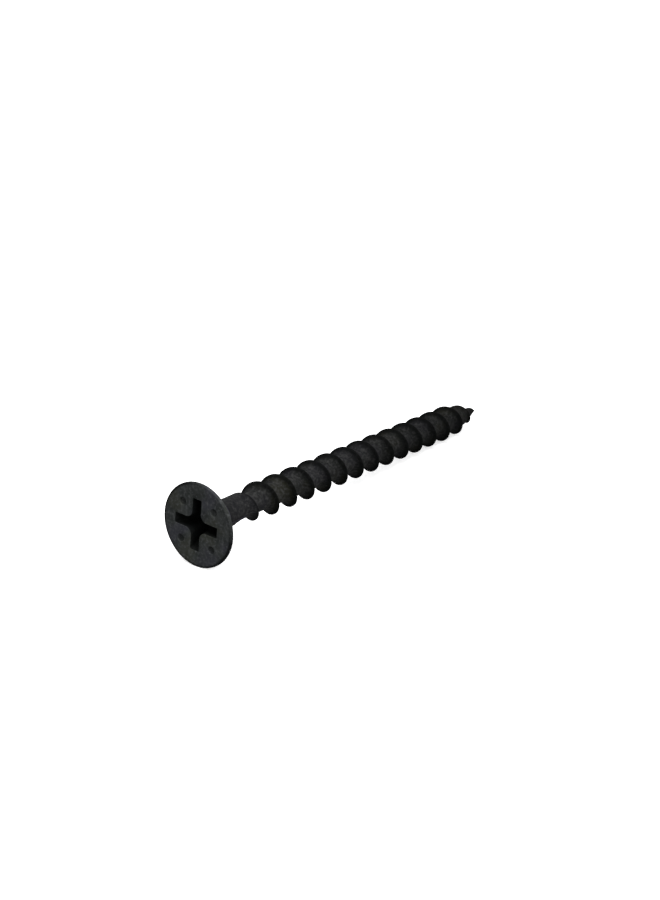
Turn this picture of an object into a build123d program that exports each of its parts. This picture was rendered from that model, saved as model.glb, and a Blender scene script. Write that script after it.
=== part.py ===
from build123d import *
from math import atan, cos, pi, radians, sin, tan
import os

# A coarse-threaded, bugle-head wood screw with a Phillips recess.
# Millimetres. The origin is the middle of the head's flat face, +X runs along the axis from
# the head to the point, and two arms of the recess lie along +Z and -Z.
# The screw is one rigid body: its regions meet face to face and do not overlap.

# ---- driving dimensions ----
overall_length = 48.9
head_diameter = 8.2
head_length = 3.03          # flat face to the end of the concave underside
rim_thickness = 0.34        # cylindrical band round the flat face
rim_round = 0.09            # radius of the two edges of that band
flare_corner_x = 1.42       # where the rim's slope under the head would meet the neck
neck_diameter = 2.96        # just under the head
shank_end_x = 5.95          # where the neck has narrowed to the core
core_diameter = 2.2         # thread root
thread_diameter = 3.76      # thread crest
pitch = 2.8                 # single start, right-handed
crest_flat = 0.1            # width of the flat along the crest
flank_angle = 35.0          # each flank, from the plane across the axis
point_length = 4.0          # tapered end of the core
point_tip_diameter = 0.12
blend_radius = 4.0          # arcs where the neck and the point leave the core

# ---- where the thread starts, fades in, fades out and ends ----
crest_at_top_x = 3.42       # the crest line would cross +Z here
thread_start_x = 4.66       # the crest rises out of the neck
run_out_start_x = 3.2       # crest height grows in a straight line from here
run_out_length = 5.55
thread_end_x = 48.4         # the crest sinks into the point
taper_end_x = 48.6          # crest radius would be zero here
taper_length = 5.5
taper_power = 0.58
points_per_turn = 20        # points of a helical edge in one turn
base_strips = 4             # narrow strips that lay the ridge's base on the blend arcs

# ---- Phillips recess, size 2 ----
recess_depth = 2.3
recess_reach = 2.54         # axis to the end of an arm, at the face
recess_arm_width = 1.04
recess_corner_radius = 0.7  # between two arms
wing_angle = 26.5           # how the ends of the arms slope in
recess_floor_arm_width = 0.8
recess_floor_corner_radius = 0.3
recess_pit_radius = 0.55    # blunt cone at the bottom, left by the punch
recess_pit_depth = 0.32

# ---- shallow round dimples, one between each two arms ----
dimple_count = 4
dimple_ring_radius = 2.62
dimple_radius = 0.42
dimple_depth = 0.14

# ---- worked out ----
head_radius = head_diameter / 2
neck_radius = neck_diameter / 2
core_radius = core_diameter / 2
crest_radius = thread_diameter / 2
tip_radius = point_tip_diameter / 2
point_start_x = overall_length - point_length


def slope_angle(length, rise):
    """Angle of a straight slope that, after its blend arc, has risen by rise over length."""
    span = 2 * blend_radius - rise
    return 2 * atan((length - (length**2 - rise * span) ** 0.5) / span)


neck_slope = slope_angle(shank_end_x - head_length, neck_radius - core_radius)
point_slope = slope_angle(point_length, core_radius - tip_radius)


def turned(outline):
    """Turn a closed outline, drawn with X along the axis and Y as the radius, about X."""
    return revolve(make_face(outline), axis=Axis.X)


def cross_outline(reach, arm_width, corner_radius):
    """Cross of the recess, with the corners between its arms rounded."""
    cross = Rectangle(2 * reach, arm_width) + Rectangle(arm_width, 2 * reach)
    corners = cross.vertices().sort_by_distance((0, 0))[:4]
    return fillet(corners, corner_radius)


def make_recess():
    """Tapered cross with a blunt conical pit at its bottom."""
    floor_reach = recess_reach - recess_depth * tan(radians(wing_angle))
    mouth = cross_outline(recess_reach, recess_arm_width, recess_corner_radius)
    floor = cross_outline(floor_reach, recess_floor_arm_width, recess_floor_corner_radius)
    cross = loft([Plane.YZ * mouth, Plane.YZ.offset(recess_depth) * floor], ruled=True)
    pit_middle = Plane.YZ.offset(recess_depth + recess_pit_depth / 2)
    pit = pit_middle * Cone(recess_pit_radius, recess_pit_radius / 5, recess_pit_depth)
    return cross + pit


def make_dimples():
    """Balls that each cut one shallow round dimple in the flat face."""
    ball_radius = (dimple_radius**2 + dimple_depth**2) / (2 * dimple_depth)
    ball_x = dimple_depth - ball_radius
    balls = []
    for index in range(dimple_count):
        angle = 2 * pi * (index + 0.5) / dimple_count
        y = dimple_ring_radius * cos(angle)
        z = dimple_ring_radius * sin(angle)
        balls.append(Pos(ball_x, y, z) * Rot(Y=90) * Sphere(ball_radius))
    return balls


def make_head():
    """Flat face, thin rim and concave underside that runs into the neck."""
    rim_corner = (rim_thickness, head_radius)
    hollow = (flare_corner_x, neck_radius)
    neck_corner = (head_length, neck_radius)
    outline = Line((0, 0), (0, head_radius))
    outline += Line((0, head_radius), rim_corner)
    outline += Bezier(rim_corner, hollow, neck_corner)
    outline += Line(neck_corner, (head_length, 0))
    outline += Line((head_length, 0), (0, 0))
    head = turned(outline)
    rim_edges = head.edges().filter_by(GeomType.CIRCLE).sort_by(SortBy.RADIUS)[-2:]
    head = fillet(rim_edges, rim_round)
    head -= make_recess()
    for ball in make_dimples():
        head -= ball
    return head


def blended_rise(distance, slope):
    """Height of a straight slope that leaves the core in an arc of blend_radius."""
    arc_end = blend_radius * sin(slope)
    if distance < arc_end:
        return blend_radius - (blend_radius**2 - distance**2) ** 0.5
    return blend_radius * (1 - cos(slope)) + (distance - arc_end) * tan(slope)


def sloped_outline(start_x, direction, length, slope, end_radius):
    """Half outline of a taper: an arc leaves the core at start_x and a straight slope follows."""
    arc_length = blend_radius * sin(slope)
    arc_rise = blended_rise(arc_length, slope)
    if end_radius < core_radius:
        arc_rise = -arc_rise
    start = (start_x, core_radius)
    arc_end = (start_x + direction * arc_length, core_radius + arc_rise)
    end_x = start_x + direction * length
    outline = TangentArc(start, arc_end, tangent=(direction, 0))
    outline += Polyline(arc_end, (end_x, end_radius), (end_x, 0), (start_x, 0), start)
    return outline


def make_shank():
    """Neck that narrows from the head to the core."""
    length = shank_end_x - head_length
    return turned(sloped_outline(shank_end_x, -1, length, neck_slope, neck_radius))


def make_core():
    """Plain round core under the thread."""
    outline = Polyline(
        (shank_end_x, 0),
        (shank_end_x, core_radius),
        (point_start_x, core_radius),
        (point_start_x, 0),
        close=True,
    )
    return turned(outline)


def make_point():
    """Tapered end of the core, with a small blunt tip."""
    return turned(sloped_outline(point_start_x, 1, point_length, point_slope, tip_radius))


def core_radius_at(x):
    """Radius of the neck, the core or the point at x."""
    if x < shank_end_x:
        return core_radius + blended_rise(shank_end_x - x, neck_slope)
    if x > point_start_x:
        return core_radius - blended_rise(x - point_start_x, point_slope)
    return core_radius


def crest_radius_at(x):
    """Radius of the thread's crest: it grows on the run-out and falls towards the point."""
    grown = min((x - run_out_start_x) / run_out_length, 1.0)
    left = min((taper_end_x - x) / taper_length, 1.0)
    run_out = core_radius + (crest_radius - core_radius) * grown
    return min(run_out, crest_radius * left**taper_power)


def ridge_half_width(x):
    """Half the width of the ridge at its base, where its crest is at x."""
    height = crest_radius_at(x) - core_radius_at(x)
    return crest_flat / 2 + height * tan(radians(flank_angle))


def helical_edge(on_crest, share):
    """One long edge of the ridge. share runs across it from -1, headward, to +1, pointward."""
    steps = round((thread_end_x - thread_start_x) / pitch * points_per_turn)
    points = []
    turns_done = []
    for step in range(steps + 1):
        crest_x = thread_start_x + (thread_end_x - thread_start_x) * step / steps
        angle = 2 * pi * (crest_x - crest_at_top_x) / pitch
        if on_crest:
            x = crest_x + share * crest_flat / 2
            radius = crest_radius_at(crest_x)
        else:
            x = crest_x + share * ridge_half_width(crest_x)
            radius = core_radius_at(x)
        points.append((x, -radius * sin(angle), radius * cos(angle)))
        turns_done.append(step / steps)
    # every edge has the same parameter at the same turn, so the faces between them aren't sheared
    return Edge.make_spline(points, parameters=turns_done)


def make_thread():
    """Helical ridge whose base lies on the surface of the neck, the core and the point."""
    shares = [2 * strip / base_strips - 1 for strip in range(base_strips + 1)]
    base_rails = [helical_edge(False, share) for share in shares]
    rails = base_rails + [helical_edge(True, 1), helical_edge(True, -1)]
    faces = []
    for rail, next_rail in zip(rails, rails[1:] + rails[:1]):
        faces.append(Face.make_surface_from_curves(rail, next_rail))
    for end in (0, 1):
        corners = [rail @ end for rail in rails]
        faces.append(make_face(Polyline(*corners, close=True)).face())
    return Solid(Shell(faces))


def main():
    os.makedirs("parts", exist_ok=True)
    nodes = {
        "head": make_head(),
        "shank": make_shank(),
        "core": make_core(),
        "thread": make_thread(),
        "point": make_point(),
    }
    for name, solid in nodes.items():
        export_step(solid, f"parts/{name}.step")


main()
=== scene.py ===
import math

import bmesh
import bpy
from mathutils import Matrix, Vector, noise


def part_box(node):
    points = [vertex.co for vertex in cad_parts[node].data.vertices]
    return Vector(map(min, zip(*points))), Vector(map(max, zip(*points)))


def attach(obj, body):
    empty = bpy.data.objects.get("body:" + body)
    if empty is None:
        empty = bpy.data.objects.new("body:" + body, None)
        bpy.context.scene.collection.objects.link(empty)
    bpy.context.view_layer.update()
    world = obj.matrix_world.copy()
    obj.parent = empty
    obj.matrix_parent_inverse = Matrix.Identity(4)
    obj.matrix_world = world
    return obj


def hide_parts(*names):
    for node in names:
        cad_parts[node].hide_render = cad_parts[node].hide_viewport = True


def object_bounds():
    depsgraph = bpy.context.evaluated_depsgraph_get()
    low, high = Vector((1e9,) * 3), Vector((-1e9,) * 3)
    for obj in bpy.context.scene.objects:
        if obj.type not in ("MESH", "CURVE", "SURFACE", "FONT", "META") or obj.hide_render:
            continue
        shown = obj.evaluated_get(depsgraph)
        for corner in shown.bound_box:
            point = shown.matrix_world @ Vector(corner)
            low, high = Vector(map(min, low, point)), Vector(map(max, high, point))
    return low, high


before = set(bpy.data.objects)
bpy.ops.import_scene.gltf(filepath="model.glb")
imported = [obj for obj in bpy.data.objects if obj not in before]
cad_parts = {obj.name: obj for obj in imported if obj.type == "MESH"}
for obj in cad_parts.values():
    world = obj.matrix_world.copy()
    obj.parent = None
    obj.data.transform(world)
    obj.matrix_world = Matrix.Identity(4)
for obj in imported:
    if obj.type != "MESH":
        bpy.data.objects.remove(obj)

# A black phosphated, coarse-threaded wood screw with a bugle head, lying on a pale floor.
# Metres. The screw's axis is +X, from the head's flat face at the origin to the point.
MM = 0.001

cad_low, cad_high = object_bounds()

# ---- sizes read from the frame ----
head_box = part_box("head")
shank_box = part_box("shank")
core_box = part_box("core")
thread_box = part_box("thread")
point_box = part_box("point")
HEAD_RADIUS = head_box[1][1]
HEAD_END = head_box[1][0]
NECK_RADIUS = shank_box[1][1]
SHANK_END = shank_box[1][0]
CORE_RADIUS = core_box[1][1]
CREST_RADIUS = thread_box[1][1]
POINT_START = point_box[0][0]
TIP_END = point_box[1][0]

# ---- sizes that the frame's boxes don't give ----
PITCH = 2.8 * MM
CREST_AT_TOP = 3.42 * MM        # the crest line would cross +Z here
RUN_OUT_START = 3.2 * MM
RUN_OUT_LENGTH = 5.55 * MM
TAPER_END = 48.6 * MM
TAPER_LENGTH = 5.5 * MM
TAPER_POWER = 0.58
TIP_RADIUS = 0.06 * MM
BLEND_RADIUS = 4.0 * MM         # arcs where the neck and the point leave the core
RIM_THICKNESS = 0.34 * MM
FLARE_CORNER = 1.42 * MM

# ---- the head's details ----
FACE_EDGE_RADIUS = 0.18 * MM    # rounding of the rim, at the flat face
REAR_EDGE_RADIUS = 0.07 * MM    # rounding of the rim, at the underside
RECESS_CUTTER_TOP = -0.4 * MM   # the recess's cutter starts this far in front of the flat face
RECESS_DEPTH = 2.3 * MM
RECESS_REACH = 2.54 * MM
RECESS_HALF_WIDTH = 0.52 * MM
RECESS_CORNER = 0.7 * MM        # between two arms
ARM_END_CORNER = 0.1 * MM       # the two corners at the end of an arm
FLOOR_REACH = 1.39 * MM
FLOOR_HALF_WIDTH = 0.4 * MM
FLOOR_CORNER = 0.3 * MM
PIT_RADIUS = 0.5 * MM
PIT_DEPTH = 0.32 * MM
LIP = 0.03 * MM                 # rounding of the recess's edge
RECESS_SHIFT = 0.15 * MM        # the punch has landed this far off the axis, to +Y
RECESS_SLOPE = 0.5              # how fast the arms draw in with depth
DIMPLE_COUNT = 4
DIMPLE_CUTTER_TOP = -0.3 * MM
DIMPLE_RING = 2.62 * MM
DIMPLE_RADIUS = 0.42 * MM
DIMPLE_DEPTH = 0.14 * MM
# a dimple's bowl, as shares of its radius and of its depth
DIMPLE_BOWL = ((1.0, 0.0), (0.9, 0.3), (0.8, 0.62), (0.68, 0.86), (0.5, 0.97), (0.1, 1.0))

# ---- unevenness of the drawn and rolled wire ----
WIRE_WAVE = 0.9 * MM            # size of the waves along the neck and the core
WIRE_UNEVENNESS = 0.006 * MM
NIB_LENGTH = 0.9 * MM           # last stretch of the point, which is bent a little
NIB_BEND = 0.03 * MM

# ---- the thread's details ----
THREAD_START = 4.25 * MM        # below the neck's surface, so that the ridge rises out of it
THREAD_END = 48.5 * MM
CREST_HALF_FLAT = 0.045 * MM
FLANK_TAN = math.tan(math.radians(33))
ROOT_SOFTNESS = 0.065 * MM
CREST_WAVE = 1.3 * MM           # size of the waves along the crest
CREST_UNEVENNESS = 0.012 * MM
SEAM_WAVE = 2.1 * MM
SEAM_DEPTH = 0.014 * MM         # fold that the rolling dies leave along the crest
SINK = 0.012 * MM               # the ridge's feet dip under the core's surface
FILL_START = 3.4 * MM           # the blank keeps its size from here to the first turn
FILL_END = 7.0 * MM
FILL_FADE = 1.2 * MM
FILL_SOFTNESS = 0.02 * MM
FLANK_STEPS = 14
STEPS_PER_TURN = 120

# ---- the coat ----
NECK_MIDDLE = 4.6 * MM
LIT_RIM_SIDE = (0, -0.6, 0.8)  # the side of the head towards the light, where the rim's painted shade is left off
PAINTED_SHADE_TONE = (0.0025, 0.0028, 0.0027)  # colour of the painted shade at its darkest

# ---- floor and world ----
FLOOR_HALF_SIZE = 1.5
FLOOR_GAP = 0.01 * MM           # the floor lies this far under the screw
FLOOR_GLOW = 0.45               # keeps the pale floor white where it is far from the lights
WORLD_STRENGTH = 1.1
WORLD_DIM = 0.2                 # brightness of the world's dim side, as a share of its bright side

# ---- how the screw lies, and where the camera stands ----
RECESS_ROLL = math.radians(4.35)    # the recess's upright arm leans this far as the screw lies
CAMERA_AZIMUTH = math.radians(36.56)  # from straight in front of the head, round to its right
CAMERA_ELEVATION = math.radians(20.8)
CAMERA_DISTANCE = 144.5 * MM
CAMERA_AIM = Vector((21.56, 1.07, 1.59)) * MM
CAMERA_LENS = 56.26             # millimetres, on a 36 mm sensor


# ---------------------------------------------------------------- shape of the screw

def slope_angle(length, rise):
    """Angle of a straight slope that, after its blend arc, has risen by rise over length."""
    span = 2 * BLEND_RADIUS - rise
    return 2 * math.atan((length - math.sqrt(length**2 - rise * span)) / span)


NECK_SLOPE = slope_angle(SHANK_END - HEAD_END, NECK_RADIUS - CORE_RADIUS)
POINT_SLOPE = slope_angle(TIP_END - POINT_START, CORE_RADIUS - TIP_RADIUS)


def blended_rise(distance, slope):
    """Height of a straight slope that leaves the core in an arc."""
    arc_end = BLEND_RADIUS * math.sin(slope)
    if distance < arc_end:
        return BLEND_RADIUS - math.sqrt(BLEND_RADIUS**2 - distance**2)
    return BLEND_RADIUS * (1 - math.cos(slope)) + (distance - arc_end) * math.tan(slope)


def core_radius_at(x):
    """Radius of the neck, the core or the point at x."""
    if x < SHANK_END:
        return CORE_RADIUS + blended_rise(SHANK_END - x, NECK_SLOPE)
    if x > POINT_START:
        return CORE_RADIUS - blended_rise(min(x, TIP_END) - POINT_START, POINT_SLOPE)
    return CORE_RADIUS


def crest_radius_at(x):
    """Radius of the crest, growing on the run-out and falling towards the point."""
    grown = min((x - RUN_OUT_START) / RUN_OUT_LENGTH, 1.0)
    left = max(min((TAPER_END - x) / TAPER_LENGTH, 1.0), 0.0)
    run_out = CORE_RADIUS + (CREST_RADIUS - CORE_RADIUS) * grown
    return min(run_out, CREST_RADIUS * left**TAPER_POWER)


def span(start, end, steps):
    """Evenly spaced numbers from start to end, both included."""
    return [start + (end - start) * step / steps for step in range(steps + 1)]


def around(x, radius, angle):
    """Point at x, radius out, angle turned from +Z towards -Y."""
    return Vector((x, -radius * math.sin(angle), radius * math.cos(angle)))


# ---------------------------------------------------------------- mesh helpers

def tube_mesh(name, rings):
    """Closed mesh through rings of equally many points, with a flat face on each end."""
    columns = len(rings[0])
    verts = [point for ring in rings for point in ring]
    faces = []
    for row in range(len(rings) - 1):
        for column in range(columns):
            after = (column + 1) % columns
            low, high = row * columns, (row + 1) * columns
            faces.append((low + column, low + after, high + after, high + column))
    faces.append(tuple(range(columns - 1, -1, -1)))
    last = (len(rings) - 1) * columns
    faces.append(tuple(range(last, last + columns)))
    mesh = bpy.data.meshes.new(name)
    mesh.from_pydata(verts, [], faces)
    editor = bmesh.new()
    editor.from_mesh(mesh)
    bmesh.ops.recalc_face_normals(editor, faces=editor.faces)
    editor.to_mesh(mesh)
    editor.free()
    return mesh


def turned_rings(profile, segments):
    """Rings of a turned shape from (x, radius) pairs."""
    rings = []
    for x, radius in profile:
        rings.append([around(x, radius, 2 * math.pi * k / segments) for k in range(segments)])
    return rings


def add_piece(name, mesh, node, sharp_angle=40):
    """Put a mesh in the scene as the piece that stands for a CAD node."""
    mesh.shade_smooth()
    mesh.set_sharp_from_angle(angle=math.radians(sharp_angle))
    piece = bpy.data.objects.new(name, mesh)
    bpy.context.scene.collection.objects.link(piece)
    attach(piece, "root")
    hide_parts(node)
    return piece


def apply_modifiers(piece):
    """Replace a piece's mesh by the result of its modifiers."""
    graph = bpy.context.evaluated_depsgraph_get()
    mesh = bpy.data.meshes.new_from_object(piece.evaluated_get(graph))
    piece.modifiers.clear()
    piece.data = mesh


# ---------------------------------------------------------------- head

def arm_end(reach, half_width):
    """(across, along) points round the two softened corners at the end of an arm."""
    points = []
    for side, start in ((-1, 0), (1, 90)):
        for step in range(5):
            angle = math.radians(start + 90 * step / 4)
            across = side * (half_width - ARM_END_CORNER) - ARM_END_CORNER * math.cos(angle)
            along = reach - ARM_END_CORNER + ARM_END_CORNER * math.sin(angle)
            points.append((across, along))
    return points


def inner_corner(half_width, radius):
    """(across, along) points round the corner between one arm and the next."""
    centre = half_width + radius
    points = []
    for step in range(9):
        angle = math.radians(180 + 90 * step / 8)
        points.append((centre + radius * math.cos(angle), centre + radius * math.sin(angle)))
    return points


def recess_section(depth, grow=0.0):
    """Outline of the recess at a depth, wider all round by grow, and even in front of the face."""
    share = max(depth, 0.0) / RECESS_DEPTH
    reach = RECESS_REACH + (FLOOR_REACH - RECESS_REACH) * share + grow
    half_width = RECESS_HALF_WIDTH + (FLOOR_HALF_WIDTH - RECESS_HALF_WIDTH) * share + grow
    corner = RECESS_CORNER + (FLOOR_CORNER - RECESS_CORNER) * share
    points = []
    for arm in range(4):
        turn = math.radians(90 * arm)
        for across, along in arm_end(reach, half_width) + inner_corner(half_width, corner):
            y = across * math.cos(turn) + along * math.sin(turn)
            z = -across * math.sin(turn) + along * math.cos(turn)
            points.append(Vector((depth, y, z)))
    return points


def recess_cutter():
    """The punch: a tapering cross that flares at the mouth and ends in a blunt cone."""
    rings = [recess_section(RECESS_CUTTER_TOP, LIP)]
    lip_steps = 6
    for step in range(lip_steps + 1):
        angle = math.pi / 2 * step / lip_steps
        depth = LIP * math.sin(angle) * 1.2
        rings.append(recess_section(depth, LIP * (1 - math.sin(angle)) ** 1.5))
    wall_steps = 10
    for step in range(1, wall_steps + 1):
        rings.append(recess_section(RECESS_DEPTH * (0.05 + 0.92 * (step / wall_steps))))
    floor_ring = recess_section(RECESS_DEPTH, -0.05 * MM)
    rings.append(floor_ring)
    for radius, depth in ((PIT_RADIUS, 0.03 * MM), (PIT_RADIUS / 5, PIT_DEPTH)):
        ring = []
        for point in floor_ring:
            flat = Vector((0, point.y, point.z)).normalized() * radius
            ring.append(Vector((RECESS_DEPTH + depth, flat.y, flat.z)))
        rings.append(ring)
    shifted = [[point + Vector((0, RECESS_SHIFT, 0)) for point in ring] for ring in rings]
    return tube_mesh("recess_cutter", shifted)


def dimple_cutter(index):
    """A shallow bowl, half way between two arms of the recess."""
    angle = 2 * math.pi / DIMPLE_COUNT * (index + 0.5)
    centre = around(0, DIMPLE_RING, angle)
    profile = [(DIMPLE_CUTTER_TOP, DIMPLE_RADIUS)]
    for radius_share, depth_share in DIMPLE_BOWL:
        profile.append((depth_share * DIMPLE_DEPTH, radius_share * DIMPLE_RADIUS))
    rings = []
    for ring in turned_rings(profile, 48):
        rings.append([point + centre for point in ring])
    return tube_mesh(f"dimple_cutter_{index}", rings)


def head_profile():
    """(x, radius) from the middle of the flat face, over the rim, to the neck."""
    profile = [(0.0, 0.02 * MM), (0.0, HEAD_RADIUS * 0.5), (0.0, HEAD_RADIUS - 0.2 * MM)]
    for step in range(9):
        angle = math.pi / 2 * step / 8
        x = FACE_EDGE_RADIUS * (1 - math.cos(angle))
        radius = HEAD_RADIUS - FACE_EDGE_RADIUS * (1 - math.sin(angle))
        profile.append((x, radius))
    for step in range(6):
        angle = math.pi / 2 * step / 5
        x = RIM_THICKNESS - REAR_EDGE_RADIUS * (1 - math.sin(angle))
        radius = HEAD_RADIUS - REAR_EDGE_RADIUS * (1 - math.cos(angle))
        profile.append((x, radius))
    start = Vector((RIM_THICKNESS, HEAD_RADIUS - REAR_EDGE_RADIUS))
    bend = Vector((FLARE_CORNER, NECK_RADIUS))
    end = Vector((HEAD_END, NECK_RADIUS))
    for t in span(0, 1, 28)[1:]:
        spot = start * (1 - t) ** 2 + bend * 2 * t * (1 - t) + end * t**2
        profile.append((spot.x, spot.y))
    return profile


def make_head():
    """Bugle head with its recess and four dimples."""
    head_mesh = tube_mesh("bugle_head", turned_rings(head_profile(), 256))
    piece = add_piece("bugle_head", head_mesh, "head")
    cutter_meshes = [recess_cutter()]
    cutter_meshes += [dimple_cutter(index) for index in range(DIMPLE_COUNT)]
    for mesh in cutter_meshes:
        cutter = bpy.data.objects.new(mesh.name, mesh)
        bpy.context.scene.collection.objects.link(cutter)
        cut = piece.modifiers.new("cut", "BOOLEAN")
        cut.operation = "DIFFERENCE"
        cut.solver = "EXACT"
        cut.object = cutter
        apply_modifiers(piece)
        bpy.data.objects.remove(cutter)
    piece.data.shade_smooth()
    piece.data.set_sharp_from_angle(angle=math.radians(32))
    even = piece.modifiers.new("even", "WEIGHTED_NORMAL")
    even.keep_sharp = True
    return piece


# ---------------------------------------------------------------- shank, core and point

def turned_span(name, node, start, end, steps, segments=128):
    """A stretch of the screw's body, with the slight unevenness of drawn and rolled wire."""
    rings = []
    for x in span(start, end, steps):
        ring = []
        for k in range(segments):
            angle = 2 * math.pi * k / segments
            spot = around(x, core_radius_at(x), angle)
            wobble = noise.noise(spot / WIRE_WAVE) * WIRE_UNEVENNESS
            ring.append(around(x, core_radius_at(x) - WIRE_UNEVENNESS + wobble, angle))
        rings.append(ring)
    return add_piece(name, tube_mesh(name, rings), node)


def make_point():
    """Tapered end. Its very tip is a small blunt nib, a hair off the axis, as rolling leaves it."""
    segments = 96
    rings = []
    for x in span(POINT_START, TIP_END, 64):
        bend = max(0.0, (x - TIP_END + NIB_LENGTH) / NIB_LENGTH) ** 2 * NIB_BEND
        ring = []
        for k in range(segments):
            angle = 2 * math.pi * k / segments
            ring.append(around(x, core_radius_at(x), angle) + Vector((0, bend, -bend)))
        rings.append(ring)
    return add_piece("screw_point", tube_mesh("screw_point", rings), "point")


# ---------------------------------------------------------------- thread

def ridge_height(offset, height):
    """Height of the ridge at an offset from its crest line: flat crest, flanks, soft roots."""
    line = height - max(offset - CREST_HALF_FLAT, 0.0) / FLANK_TAN
    ratio = line / ROOT_SOFTNESS
    if ratio > 30:
        return line
    return ROOT_SOFTNESS * math.log1p(math.exp(ratio))


def run_out_fill(crest_x, x):
    """Height over the core of the unrolled blank, on the head's side of the first turn."""
    share = min(max((FILL_END - crest_x) / FILL_FADE, 0.0), 1.0)
    share = share * share * (3 - 2 * share)
    along = min(max((x - FILL_START) / max(crest_x - FILL_START, 0.1 * MM), 0.0), 1.0)
    neck = core_radius_at(FILL_START)
    blank = neck + (crest_radius_at(crest_x) - neck) * along
    return share * (blank - core_radius_at(x))


def soft_max(first, second, softness):
    """The larger of two heights, with a rounded change from one to the other."""
    gap = max(min((first - second) / softness, 30), -30)
    return second + softness * math.log1p(math.exp(gap))


def ridge_section(crest_x, angle):
    """Closed section of the ridge: over it from the head's side, then back under the surface."""
    spot = around(crest_x, CREST_RADIUS, angle)
    uneven = noise.noise(spot / CREST_WAVE) * CREST_UNEVENNESS
    seam = SEAM_DEPTH * max(0.0, 0.4 + noise.noise(spot / SEAM_WAVE))
    height = crest_radius_at(crest_x) - core_radius_at(crest_x) + uneven - CREST_UNEVENNESS
    foot = CREST_HALF_FLAT + (max(height, 0.0) + 2.6 * ROOT_SOFTNESS) * FLANK_TAN
    head_foot = foot
    if crest_x < FILL_END:
        head_foot = max(foot, crest_x - FILL_START + 0.3 * MM)
    flank = [(FLANK_STEPS - step) / FLANK_STEPS for step in range(FLANK_STEPS)]
    crest = [-1.0, -0.6, -0.25, 0.0, 0.25, 0.6, 1.0]
    offsets = [-CREST_HALF_FLAT - (head_foot - CREST_HALF_FLAT) * share for share in flank]
    offsets += [CREST_HALF_FLAT * share for share in crest]
    offsets += [CREST_HALF_FLAT + (foot - CREST_HALF_FLAT) * share for share in reversed(flank)]
    section = []
    for offset in offsets:
        x = crest_x + offset
        rise = ridge_height(abs(offset), height)
        if offset < -CREST_HALF_FLAT and crest_x < FILL_END:
            rise = soft_max(rise, run_out_fill(crest_x, x), FILL_SOFTNESS)
        if abs(offset) < CREST_HALF_FLAT * 0.5:
            rise -= seam
        section.append(around(x, core_radius_at(x) + rise - SINK, angle))
    for x in (crest_x + 0.7 * foot, crest_x - 0.7 * head_foot):
        section.append(around(x, core_radius_at(x) * 0.93, angle))
    return section


def make_thread():
    """Single-start, right-handed ridge from the neck to the point."""
    steps = round((THREAD_END - THREAD_START) / PITCH * STEPS_PER_TURN)
    sections = []
    for crest_x in span(THREAD_START, THREAD_END, steps):
        angle = 2 * math.pi * (crest_x - CREST_AT_TOP) / PITCH
        sections.append(ridge_section(crest_x, angle))
    return add_piece("rolled_thread", tube_mesh("rolled_thread", sections), "thread", 60)


# ---------------------------------------------------------------- materials

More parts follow.
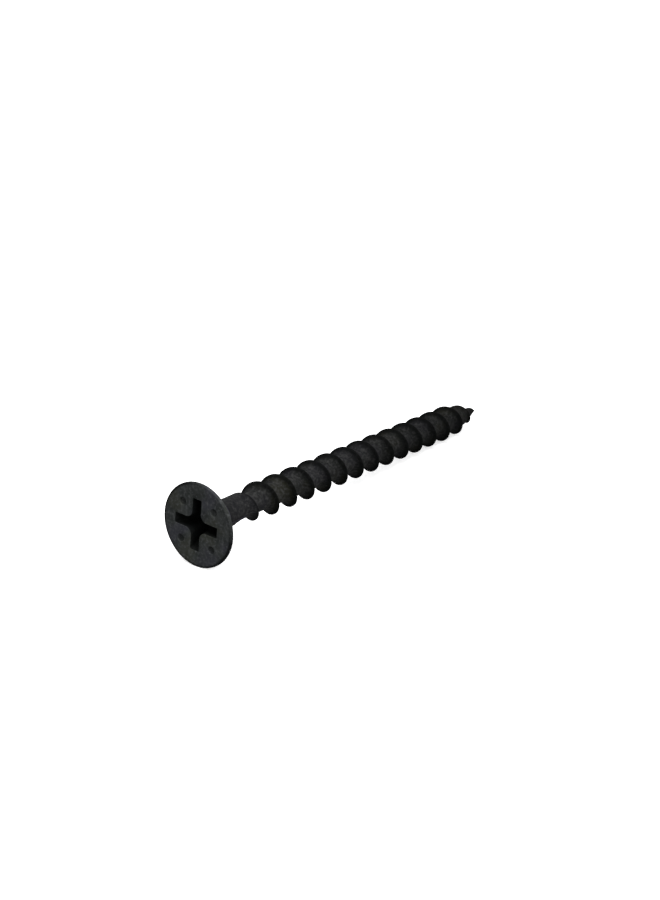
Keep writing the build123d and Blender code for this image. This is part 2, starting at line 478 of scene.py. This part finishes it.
class Nodes:
    """Short way to add and join shader nodes."""

    def __init__(self, name):
        self.material = bpy.data.materials.new(name)
        self.material.use_nodes = True
        self.tree = self.material.node_tree
        self.shader = self.tree.nodes["Principled BSDF"]

    def add(self, kind, **values):
        """New node, with settings and inputs by name. An underscore stands for a space."""
        node = self.tree.nodes.new(kind)
        for key, value in values.items():
            if hasattr(node, key):
                setattr(node, key, value)
            else:
                node.inputs[key.replace("_", " ")].default_value = value
        return node

    def link(self, output, target):
        """Join an output socket to an input socket."""
        self.tree.links.new(output, target)

    def grain(self, size, detail=3.0, roughness=0.5):
        """Noise whose features are about size metres across."""
        place = self.add("ShaderNodeTexCoord")
        node = self.add("ShaderNodeTexNoise", Scale=1 / size, Detail=detail, Roughness=roughness)
        self.link(place.outputs["Object"], node.inputs["Vector"])
        return node.outputs["Fac"]

    def ramp(self, source, low, high, low_value, high_value):
        """Remap source from [low, high] to [low_value, high_value], clamped."""
        node = self.add("ShaderNodeMapRange")
        node.clamp = True
        node.inputs["From Min"].default_value = low
        node.inputs["From Max"].default_value = high
        node.inputs["To Min"].default_value = low_value
        node.inputs["To Max"].default_value = high_value
        self.link(source, node.inputs["Value"])
        return node.outputs["Result"]

    def multiply(self, first, second):
        """Product of two sockets."""
        node = self.add("ShaderNodeMath", operation="MULTIPLY")
        self.link(first, node.inputs[0])
        self.link(second, node.inputs[1])
        return node.outputs["Value"]

    def blend(self, share, first, second):
        """Mix two colours, or a socket and a colour, by share."""
        node = self.add("ShaderNodeMix", data_type="RGBA")
        self.link(share, node.inputs[0])
        for value, socket in ((first, node.inputs[6]), (second, node.inputs[7])):
            if hasattr(value, "is_linked"):
                self.link(value, socket)
            else:
                socket.default_value = (*value, 1.0)
        return node.outputs[2]

    def axis_distance(self, shift=0.0):
        """Distance in metres from the screw's axis, or from a line that runs shift to its +Y."""
        place = self.add("ShaderNodeTexCoord")
        flat = self.add("ShaderNodeVectorMath", operation="MULTIPLY_ADD")
        flat.inputs[1].default_value = (0, 1, 1)
        flat.inputs[2].default_value = (0, -shift, 0)
        self.link(place.outputs["Object"], flat.inputs[0])
        length = self.add("ShaderNodeVectorMath", operation="LENGTH")
        self.link(flat.outputs["Vector"], length.inputs[0])
        return length.outputs["Value"]

    def along_axis(self):
        """Distance along the screw's axis from the flat face, in metres."""
        place = self.add("ShaderNodeTexCoord")
        parts = self.add("ShaderNodeSeparateXYZ")
        self.link(place.outputs["Object"], parts.inputs["Vector"])
        return parts.outputs["X"]

    def off_arm(self):
        """Distance from the nearer of the recess's two middle planes, in metres."""
        place = self.add("ShaderNodeTexCoord")
        size = self.add("ShaderNodeVectorMath", operation="ABSOLUTE")
        self.link(place.outputs["Object"], size.inputs[0])
        parts = self.add("ShaderNodeSeparateXYZ")
        self.link(size.outputs["Vector"], parts.inputs["Vector"])
        least = self.add("ShaderNodeMath", operation="MINIMUM")
        self.link(parts.outputs["Y"], least.inputs[0])
        self.link(parts.outputs["Z"], least.inputs[1])
        return least.outputs["Value"]

    def bump(self, layers):
        """Chain of bumps from (height socket, depth in metres) pairs."""
        normal = None
        for height, depth in layers:
            node = self.add("ShaderNodeBump", Strength=1.0, Distance=depth)
            self.link(height, node.inputs["Height"])
            if normal is not None:
                self.link(normal, node.inputs["Normal"])
            normal = node.outputs["Normal"]
        self.link(normal, self.shader.inputs["Normal"])


class Coat(Nodes):
    """Black phosphate coat: crystalline grain, cloudy tone, faint tints and a weak sheen."""

    def __init__(self, name, dark, light, wear_and_highlight_tone, roughness, sheen, warmth):
        super().__init__(name)
        # the wear colour, also used for the painted highlight at the thread's roots
        self.wear_and_highlight_tone = wear_and_highlight_tone
        self.cloud = self.grain(1.1 * MM, 4.0, 0.6)
        self.patch = self.grain(0.3 * MM, 3.0, 0.6)
        self.crystal = self.grain(0.05 * MM, 2.0, 0.7)
        tint = self.grain(3.5 * MM, 2.0, 0.5)
        self.tone = self.blend(self.ramp(self.cloud, 0.4, 0.6, 0.0, 1.0), dark, light)
        self.sheen = self.ramp(self.patch, 0.3, 0.7, sheen * 0.5, sheen * 1.5)
        warm = (light[0] * 1.06, light[1], light[2] * 0.66)
        violet = (light[0] * 1.03, light[1] * 0.94, light[2] * 1.28)
        warm_share = self.ramp(tint, 0.53, 0.62, 0.0, warmth)
        off_neck = self.off_neck()
        self.mark(self.multiply(warm_share, off_neck), warm)
        self.mark(self.ramp(off_neck, 0.0, 1.0, 0.45, 0.0), violet)
        self.mark(self.ramp(tint, 0.38, 0.48, 0.6, 0.0), violet)
        self.mark(self.ramp(self.patch, 0.5, 0.68, 0.0, 0.6), wear_and_highlight_tone)
        self.mark(self.ramp(self.crystal, 0.56, 0.76, 0.0, 0.4), wear_and_highlight_tone)
        rough = self.ramp(self.patch, 0.3, 0.7, roughness - 0.07, roughness + 0.08)
        self.link(rough, self.shader.inputs["Roughness"])
        self.bump([(self.cloud, 0.04 * MM), (self.patch, 0.025 * MM), (self.crystal, 0.006 * MM)])

    def off_neck(self):
        """0 on the neck, which has no warm tint, rising to 1 on the flat face and the thread."""
        from_neck = self.add("ShaderNodeMath", operation="SUBTRACT")
        self.link(self.along_axis(), from_neck.inputs[0])
        from_neck.inputs[1].default_value = NECK_MIDDLE
        size = self.add("ShaderNodeMath", operation="ABSOLUTE")
        self.link(from_neck.outputs["Value"], size.inputs[0])
        return self.ramp(size.outputs["Value"], 2.2 * MM, 4.2 * MM, 0.0, 1.0)

    def mark(self, share, colour):
        """Change the tone towards a colour where share is high."""
        self.tone = self.blend(share, self.tone, colour)

    def darken(self, share):
        """Paint shade: take both the tone and the sheen down where share is high."""
        self.mark(share, PAINTED_SHADE_TONE)
        left = self.ramp(share, 0.0, 1.0, 1.0, 0.05)
        self.sheen = self.multiply(self.sheen, left)

    def paint_crest_shade(self, low, high, most):
        """Painted shade towards the outer edge of the thread."""
        self.darken(self.ramp(self.axis_distance(), low, high, 0.0, most))

    def paint_recess_shade(self):
        """Painted shade in the recess, from just under its edge down."""
        inside = self.add("ShaderNodeMath", operation="MULTIPLY_ADD")
        self.link(self.along_axis(), inside.inputs[0])
        inside.inputs[1].default_value = RECESS_SLOPE
        self.link(self.axis_distance(RECESS_SHIFT), inside.inputs[2])
        reach = RECESS_REACH + 0.05 * MM
        inner = self.ramp(inside.outputs["Value"], reach, reach + 0.06 * MM, 1.0, 0.0)
        arms = self.ramp(self.off_arm(), 1.1 * MM, 1.2 * MM, 1.0, 0.0)
        inner = self.multiply(inner, arms)
        edge = self.ramp(self.along_axis(), 0.01 * MM, 0.06 * MM, 0.0, 0.88)
        self.darken(self.multiply(inner, edge))
        depth = self.ramp(self.along_axis(), 0.05 * MM, 0.6 * MM, 0.0, 0.8)
        self.darken(self.multiply(inner, depth))

    def paint_dimple_shade(self):
        """Painted shade in the dimples, darker towards their bottoms."""
        depth = self.ramp(self.along_axis(), 0.01 * MM, 0.1 * MM, 0.0, 0.5)
        face_side = self.ramp(self.along_axis(), 0.2 * MM, 0.3 * MM, 1.0, 0.0)
        off_arms = self.ramp(self.off_arm(), 1.2 * MM, 1.3 * MM, 0.0, 1.0)
        inside_rim = self.ramp(self.axis_distance(), 3.1 * MM, 3.3 * MM, 1.0, 0.0)
        share = self.multiply(self.multiply(depth, face_side), self.multiply(off_arms, inside_rim))
        self.darken(share)

    def paint_rim_shade(self, low, high):
        """Painted shade on the rounded edge of the rim, left off on the side of the head towards
        the light.
        """
        front = self.ramp(self.along_axis(), 0.2 * MM, 0.3 * MM, 0.85, 0.0)
        band = self.ramp(self.axis_distance(), low, high, 0.0, 1.0)
        place = self.add("ShaderNodeTexCoord")
        across = self.add("ShaderNodeVectorMath", operation="DOT_PRODUCT")
        self.link(place.outputs["Object"], across.inputs[0])
        across.inputs[1].default_value = LIT_RIM_SIDE
        shaded_side = self.ramp(across.outputs["Value"], 2.0 * MM, 3.8 * MM, 1.0, 0.1)
        self.darken(self.multiply(self.multiply(band, front), shaded_side))

    def paint_root_highlight(self, low, high):
        """Painted highlight at the thread's roots, between two distances from the axis, uneven with
        the coat's patches.
        """
        band = self.ramp(self.axis_distance(), low, high, 0.45, 0.0)
        uneven = self.ramp(self.patch, 0.4, 0.6, 0.2, 1.0)
        self.mark(self.multiply(band, uneven), self.wear_and_highlight_tone)

    def paint_shade_along(self, start, end, most):
        """Painted shade, growing gradually from one distance along the axis to another."""
        self.darken(self.ramp(self.along_axis(), start, end, 0.0, most))

    def done(self):
        """Join the finished tone and sheen to the shader, and give the material."""
        self.link(self.tone, self.shader.inputs["Base Color"])
        self.link(self.sheen, self.shader.inputs["Specular IOR Level"])
        return self.material


def head_material():
    """Worn coat of the head, with painted shade in the recess, in the dimples and on the rim's
    edge.
    """
    coat = Coat(
        "head_phosphate",
        dark=(0.0135, 0.0158, 0.0150),
        light=(0.0245, 0.0268, 0.0262),
        wear_and_highlight_tone=(0.054, 0.056, 0.058),
        roughness=0.55,
        sheen=0.12,
        warmth=0.4,
    )
    coat.paint_recess_shade()
    coat.paint_dimple_shade()
    coat.paint_rim_shade(HEAD_RADIUS - 0.34 * MM, HEAD_RADIUS - 0.14 * MM)
    return coat.done()


def shank_material():
    """Slightly violet coat of the plain neck."""
    coat = Coat(
        "shank_phosphate",
        dark=(0.007, 0.007, 0.009),
        light=(0.015, 0.015, 0.019),
        wear_and_highlight_tone=(0.05, 0.05, 0.058),
        roughness=0.5,
        sheen=0.08,
        warmth=0.0,
    )
    return coat.done()


def thread_material():
    """Darker coat of the rolled part, with painted shade along the crest, towards the far end and
    darkest at the point, and a painted highlight at the roots.
    """
    coat = Coat(
        "thread_phosphate",
        dark=(0.0032, 0.0037, 0.0034),
        light=(0.0088, 0.0094, 0.0088),
        wear_and_highlight_tone=(0.03, 0.03, 0.03),
        roughness=0.5,
        sheen=0.06,
        warmth=0.85,
    )
    # painted shade along the crest
    coat.paint_crest_shade(CREST_RADIUS - 0.52 * MM, CREST_RADIUS - 0.26 * MM, 0.82)
    # painted highlight at the roots
    coat.paint_root_highlight(CORE_RADIUS + 0.06 * MM, CORE_RADIUS + 0.25 * MM)
    # painted shade towards the far end and, strongest, at the point
    coat.paint_shade_along(12 * MM, 40 * MM, 0.45)
    coat.paint_shade_along(44 * MM, 46.5 * MM, 0.8)
    return coat.done()


def dress(piece, material):
    """Give a piece its only material."""
    piece.data.materials.clear()
    piece.data.materials.append(material)


# ---------------------------------------------------------------- stage, lights and camera

# the screw lies on its rim and on the last full turn of its thread, so its axis dips to the point
resting_length = TAPER_END - TAPER_LENGTH - RIM_THICKNESS / 2
floor_dip = math.atan((HEAD_RADIUS - CREST_RADIUS) / resting_length)
floor_up = Vector((
    -math.sin(floor_dip),
    math.cos(floor_dip) * math.sin(RECESS_ROLL),
    math.cos(floor_dip) * math.cos(RECESS_ROLL),
))
floor_ahead = (Vector((1, 0, 0)) - floor_up * floor_up.x).normalized()
floor_left = floor_up.cross(floor_ahead)
floor_height = RIM_THICKNESS / 2 * floor_up.x - HEAD_RADIUS * math.cos(floor_dip)


def stage_place(ahead, left, up):
    """A place given along the floor ahead of the head, to its left, and above the floor."""
    return floor_ahead * ahead + floor_left * left + floor_up * (floor_height + up)


def facing(place, target, up):
    """Matrix of something at place that looks along its -Z at target."""
    back = (place - target).normalized()
    right = up.cross(back).normalized()
    matrix = Matrix((right, back.cross(right), back)).transposed().to_4x4()
    matrix.translation = place
    return matrix


def make_floor():
    """Plain pale floor under the screw. It throws no light back on the screw."""
    floor_mesh = bpy.data.meshes.new("floor")
    corners = [(-1, -1), (1, -1), (1, 1), (-1, 1)]
    verts = []
    for ahead, left in corners:
        verts.append(stage_place(ahead * FLOOR_HALF_SIZE, left * FLOOR_HALF_SIZE, -FLOOR_GAP))
    floor_mesh.from_pydata(verts, [], [(0, 1, 2, 3)])
    floor = bpy.data.objects.new("floor", floor_mesh)
    bpy.context.scene.collection.objects.link(floor)
    floor.visible_diffuse = False
    floor.visible_glossy = False
    nodes = Nodes("pale_floor")
    nodes.shader.inputs["Base Color"].default_value = (0.93, 0.93, 0.93, 1)
    nodes.shader.inputs["Roughness"].default_value = 0.8
    nodes.shader.inputs["Specular IOR Level"].default_value = 0.1
    nodes.shader.inputs["Emission Color"].default_value = (1, 1, 1, 1)
    nodes.shader.inputs["Emission Strength"].default_value = FLOOR_GLOW
    dress(floor, nodes.material)


def add_softbox(name, place, target, size, power):
    """Rectangular lamp at place that faces target."""
    light = bpy.data.lights.new(name, "AREA")
    light.shape = "RECTANGLE"
    light.size, light.size_y = size
    light.energy = power
    lamp = bpy.data.objects.new(name, light)
    bpy.context.scene.collection.objects.link(lamp)
    lamp.matrix_world = facing(place, target, floor_ahead)


def make_world():
    """A pale studio round the screw: bright above and to its right, dim below and to its left."""
    world = bpy.data.worlds.new("studio")
    world.use_nodes = True
    tree = world.node_tree
    background = tree.nodes["Background"]
    background.inputs["Strength"].default_value = WORLD_STRENGTH
    place = tree.nodes.new("ShaderNodeTexCoord")
    height = tree.nodes.new("ShaderNodeVectorMath")
    height.operation = "DOT_PRODUCT"
    height.inputs[1].default_value = (floor_up * 0.85 - floor_left * 0.5).normalized()
    ramp = tree.nodes.new("ShaderNodeMapRange")
    ramp.inputs["From Min"].default_value = -0.6
    ramp.inputs["From Max"].default_value = 0.6
    ramp.inputs["To Min"].default_value = WORLD_DIM
    ramp.inputs["To Max"].default_value = 1.0
    tree.links.new(place.outputs["Generated"], height.inputs[0])
    tree.links.new(height.outputs["Value"], ramp.inputs["Value"])
    tree.links.new(ramp.outputs["Result"], background.inputs["Color"])
    bpy.context.scene.world = world


def make_lights():
    """Two softboxes: one over the screw, one further out to its right."""
    neck = Vector((HEAD_END, 0, 0))
    middle = Vector(((cad_low[0] + cad_high[0]) / 2, 0, 0))
    add_softbox("top_softbox", stage_place(-0.03, -0.02, 0.14), middle, (0.07, 0.07), 0.16)
    add_softbox("side_softbox", stage_place(-0.06, -0.16, 0.1), neck, (0.06, 0.06), 0.12)


def make_camera():
    """Camera in front of the head, to its right and above it."""
    data = bpy.data.cameras.new("camera")
    data.sensor_width = 36
    data.lens = CAMERA_LENS
    data.clip_start = 1 * MM
    flat = -floor_ahead * math.cos(CAMERA_AZIMUTH) - floor_left * math.sin(CAMERA_AZIMUTH)
    back = flat * math.cos(CAMERA_ELEVATION) + floor_up * math.sin(CAMERA_ELEVATION)
    camera = bpy.data.objects.new("camera", data)
    bpy.context.scene.collection.objects.link(camera)
    camera.matrix_world = facing(CAMERA_AIM + back * CAMERA_DISTANCE, CAMERA_AIM, floor_up)
    bpy.context.scene.camera = camera


# ---------------------------------------------------------------- the scene

make_camera()
make_floor()
make_world()
make_lights()
bpy.context.scene.view_settings.view_transform = "Standard"

head = make_head()
shank = turned_span("plain_shank", "shank", HEAD_END, SHANK_END, 60)
core = turned_span("thread_core", "core", SHANK_END, POINT_START, 400)
point = make_point()
thread = make_thread()

dress(head, head_material())
dress(shank, shank_material())
rolled_coat = thread_material()
for piece in (core, thread, point):
    dress(piece, rolled_coat)
